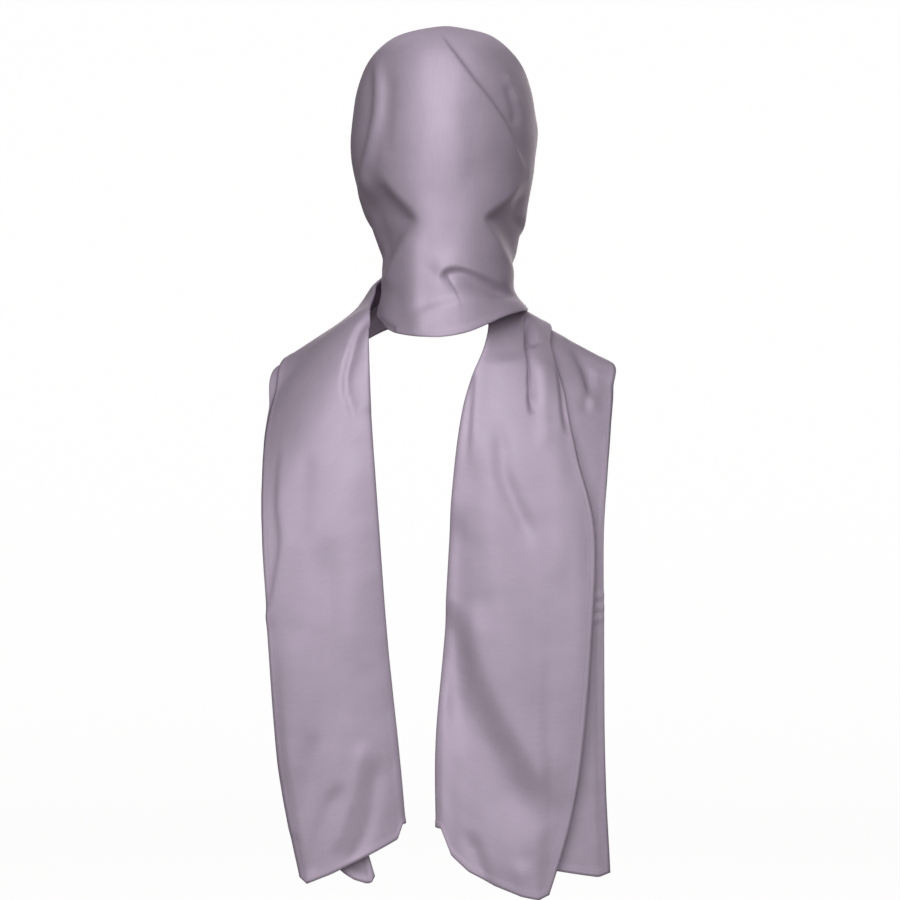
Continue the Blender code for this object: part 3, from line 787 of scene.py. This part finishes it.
def stitched_lines(name, lines, sizes):
    """The stitches along these lines of points, in millimetres, as one mesh."""
    curve = bpy.data.curves.new(name, "CURVE")
    curve.dimensions = "3D"
    for line in lines:
        run = curve.splines.new("POLY")
        run.points.add(len(line) - 1)
        flat = np.hstack([line * MM, np.ones((len(line), 1))]).ravel()
        run.points.foreach_set("co", flat)
    guide = bpy.data.objects.new(name + "_guide", curve)
    bpy.context.scene.collection.objects.link(guide)
    tree = bpy.data.node_groups.get("hem stitches") or stitch_tree()
    sew = guide.modifiers.new("stitches", "NODES")
    sew.node_group = tree
    values = {
        "Spacing": sizes.stitch_spacing,
        "Length": sizes.stitch_length,
        "Radius": sizes.thread_radius,
        "Thread": material_once("spun polyester thread", thread_material, sizes),
    }
    for item in tree.interface.items_tree:
        if item.name in values:
            sew[item.identifier] = values[item.name]
    evaluated = guide.evaluated_get(bpy.context.evaluated_depsgraph_get())
    mesh = bpy.data.meshes.new_from_object(evaluated)
    piece = bpy.data.objects.new(name, mesh)
    bpy.context.scene.collection.objects.link(piece)
    bpy.data.objects.remove(guide)
    bpy.data.curves.remove(curve)
    return piece


def finish_sheet(piece, stitches, node, sizes):
    """Dye a sheet and say what it and its stitches stand for."""
    piece.data.materials.append(material_once("mauve polyester satin", satin_material, sizes))
    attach(piece, "root")
    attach(stitches, "root")
    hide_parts(node)


def make_stretch(node, stations, drops, creases, side, sizes):
    """A stretch with its turned edges and their stitches."""
    grid = stretch_grid(stations, drops, creases, side, sizes.unevenness)
    width = sizes.hem_width / MM
    to_hem = edge_distances(grid, by_row=True)
    to_edge = edge_distances(grid, by_row=False)
    hem = turned_edge(np.minimum(to_hem, to_edge), width)
    along = run_along(grid, 0)[:, grid.shape[1] // 2, None]
    cloth = np.stack([run_along(grid, 1), along + 0 * to_hem], -1)
    piece = sheet_object(node.replace("stretch", "sheet"), grid, cloth, hem, sizes)
    lift = sizes.hem_wall / MM / 2
    last_row = int(np.flatnonzero(to_hem[:, len(to_hem[0]) // 2] < width)[0])
    first = int(np.flatnonzero(to_edge[len(grid) // 2] > width)[0])
    rows = np.arange(last_row + 1)
    whole = np.arange(first, grid.shape[1] - first)
    lines = [
        *both_faces(grid, rows, np.full_like(rows, first), lift),
        *both_faces(grid, rows, np.full_like(rows, grid.shape[1] - 1 - first), lift),
        *both_faces(grid, np.full_like(whole, last_row), whole, lift),
    ]
    stitches = stitched_lines(node.replace("stretch", "stitches"), lines, sizes)
    finish_sheet(piece, stitches, node, sizes)


def head_cloth(grid):
    """Places on the flat sheet: its width runs over the crown from front to back, and its length
    from ear to ear. Below the crown the length runs round the head."""
    down = run_along(grid, 0)
    angle = np.arctan2(grid[..., 0], -grid[..., 1])
    angle[:, 0], angle[:, -1] = -np.abs(angle[:, 0]), np.abs(angle[:, -1])
    angle[0] = angle[1]
    below = ease((down - 40) / 80)
    across = down * (np.cos(angle) * (1 - below) + below)
    along = down * np.sin(angle) * (1 - below) + 90 * angle * below
    return np.stack([across, along], -1)


# Operators.
class HEADSCARF_OT_head_drape(bpy.types.Operator):
    """Make the stretch over the head, with its turned edges and stitches"""

    bl_idname = "headscarf.head_drape"
    bl_label = "Head Drape"

    def execute(self, context):
        sizes = context.scene.headscarf
        grid = head_grid(sizes.unevenness)
        width = sizes.hem_width / MM
        to_hem = edge_distances(grid, by_row=True)
        to_edge = edge_distances(grid, by_row=False)
        jaw_row = CROWN_ROWS + FACE_ROWS
        to_edge[:CROWN_ROWS] = np.inf
        to_edge[jaw_row:] = np.inf
        hem = turned_edge(np.minimum(to_hem, to_edge), width)
        cloth = head_cloth(grid)
        piece = sheet_object("head_sheet", grid, cloth, hem, sizes, closed_rows=CROWN_ROWS + 1, pole=True)
        lift = sizes.hem_wall / MM / 2
        last_row = int(np.flatnonzero(to_hem[:, HEAD_COLUMNS // 2] < width)[0])
        first = int(np.flatnonzero(to_edge[CROWN_ROWS + FACE_ROWS // 2] > width)[0])
        whole = np.arange(HEAD_COLUMNS + 1)
        beside = np.arange(CROWN_ROWS + 6, jaw_row)
        lines = [
            *both_faces(grid, np.full_like(whole, last_row), whole, lift),
            *both_faces(grid, beside, np.full_like(beside, first), lift),
            *both_faces(grid, beside, np.full_like(beside, HEAD_COLUMNS - first), lift),
        ]
        stitches = stitched_lines("head_stitches", lines, sizes)
        finish_sheet(piece, stitches, "head_drape", sizes)
        return {"FINISHED"}


class HEADSCARF_OT_stretches(bpy.types.Operator):
    """Make the two stretches that cross under the chin and hang down the back"""

    bl_idname = "headscarf.stretches"
    bl_label = "Folded Ends"

    def execute(self, context):
        sizes = context.scene.headscarf
        make_stretch(
            "left_stretch", LEFT_STATIONS, LEFT_DROPS, LEFT_CREASES, -1,
            sizes,
        )
        make_stretch(
            "right_stretch", RIGHT_STATIONS, RIGHT_DROPS, RIGHT_CREASES, 1,
            sizes,
        )
        return {"FINISHED"}


class HEADSCARF_OT_stage(bpy.types.Operator):
    """Make the pale backdrop and floor, the studio lights and the camera"""

    bl_idname = "headscarf.stage"
    bl_label = "Studio"

    def execute(self, context):
        backdrop()
        studio_light("key", (-0.2, -2.2, 0.4), (0, 0, -0.35), 2.4, 76, (0.97, 0.97, 1))
        studio_light("fill", (0.5, 2.3, 0.4), (0, 0, -0.35), 2.4, 30, (1, 0.97, 0.95))
        world = bpy.data.worlds.new("studio")
        world.use_nodes = True
        world.node_tree.nodes["Background"].inputs["Color"].default_value = (1, 0.92, 0.9, 1)
        world.node_tree.nodes["Background"].inputs["Strength"].default_value = 0.11
        context.scene.world = world
        camera = bpy.data.objects.new("camera", bpy.data.cameras.new("camera"))
        camera.data.lens = 96
        camera.location = (0.006, -2.4, -0.423)
        camera.rotation_euler = (math.radians(90), 0, 0)
        context.scene.collection.objects.link(camera)
        context.scene.camera = camera
        context.scene.view_settings.view_transform = "Standard"
        return {"FINISHED"}


def backdrop():
    """A round floor of matt white paper that curves up into a wall all round the scarf. It casts
    no light or shade on the cloth."""
    floor, radius, bend, top, sides = -1.5, 6.5, 2.0, 6.0, 72
    curve = [(radius - bend + bend * math.sin(a), floor + bend - bend * math.cos(a))
             for a in np.linspace(0, math.pi / 2, 13)]
    profile = [*curve, (radius, top)]
    turns = np.linspace(0, 2 * math.pi, sides, endpoint=False)
    points = [(r * math.cos(a), r * math.sin(a), z) for r, z in profile for a in turns]
    below = [(k * sides + n, k * sides + (n + 1) % sides)
             for k in range(len(profile) - 1) for n in range(sides)]
    faces = [(a + sides, b + sides, b, a) for a, b in below] + [tuple(range(sides))]
    mesh = bpy.data.meshes.new("backdrop")
    mesh.from_pydata(points, [], faces)
    mesh.shade_smooth()
    material, tree, shader = new_material("white paper backdrop")
    shader.inputs["Base Color"].default_value = (0.5, 0.5, 0.5, 1)
    shader.inputs["Roughness"].default_value = 0.9
    shader.inputs["Emission Color"].default_value = (1, 1, 1, 1)
    shader.inputs["Emission Strength"].default_value = 0.9
    mesh.materials.append(material)
    piece = bpy.data.objects.new("backdrop", mesh)
    bpy.context.scene.collection.objects.link(piece)
    piece.visible_diffuse = False
    piece.visible_glossy = False
    piece.visible_shadow = False


def studio_light(name, place, target, size, watts, colour):
    """A soft square light that shines from its place towards the target."""
    light = bpy.data.lights.new(name, "AREA")
    light.size = size
    light.color = colour
    light.energy = watts
    lamp = bpy.data.objects.new(name, light)
    lamp.location = place
    lamp.rotation_euler = (Vector(target) - Vector(place)).to_track_quat("-Z", "Y").to_euler()
    lamp.visible_camera = False
    bpy.context.scene.collection.objects.link(lamp)


class HEADSCARF_PT_panel(bpy.types.Panel):
    """The scarf's pieces and sizes"""

    bl_idname = "HEADSCARF_PT_panel"
    bl_label = "Headscarf"
    bl_space_type = "VIEW_3D"
    bl_region_type = "UI"
    bl_category = "Headscarf"

    def draw(self, context):
        column = self.layout.column()
        for operator in OPERATORS:
            column.operator(operator.bl_idname)
        sizes = context.scene.headscarf
        for name in sizes.bl_rna.properties.keys():
            if name not in {"rna_type", "name"}:
                column.prop(sizes, name)


OPERATORS = [HEADSCARF_OT_head_drape, HEADSCARF_OT_stretches, HEADSCARF_OT_stage]
CLASSES = [HeadscarfSizes, *OPERATORS, HEADSCARF_PT_panel]


def register():
    for cls in CLASSES:
        bpy.utils.register_class(cls)
    bpy.types.Scene.headscarf = bpy.props.PointerProperty(type=HeadscarfSizes)


def unregister():
    del bpy.types.Scene.headscarf
    for cls in reversed(CLASSES):
        bpy.utils.unregister_class(cls)


def main():
    register()
    bpy.ops.headscarf.head_drape()
    bpy.ops.headscarf.stretches()
    bpy.ops.headscarf.stage()


if __name__ == "__main__":
    main()
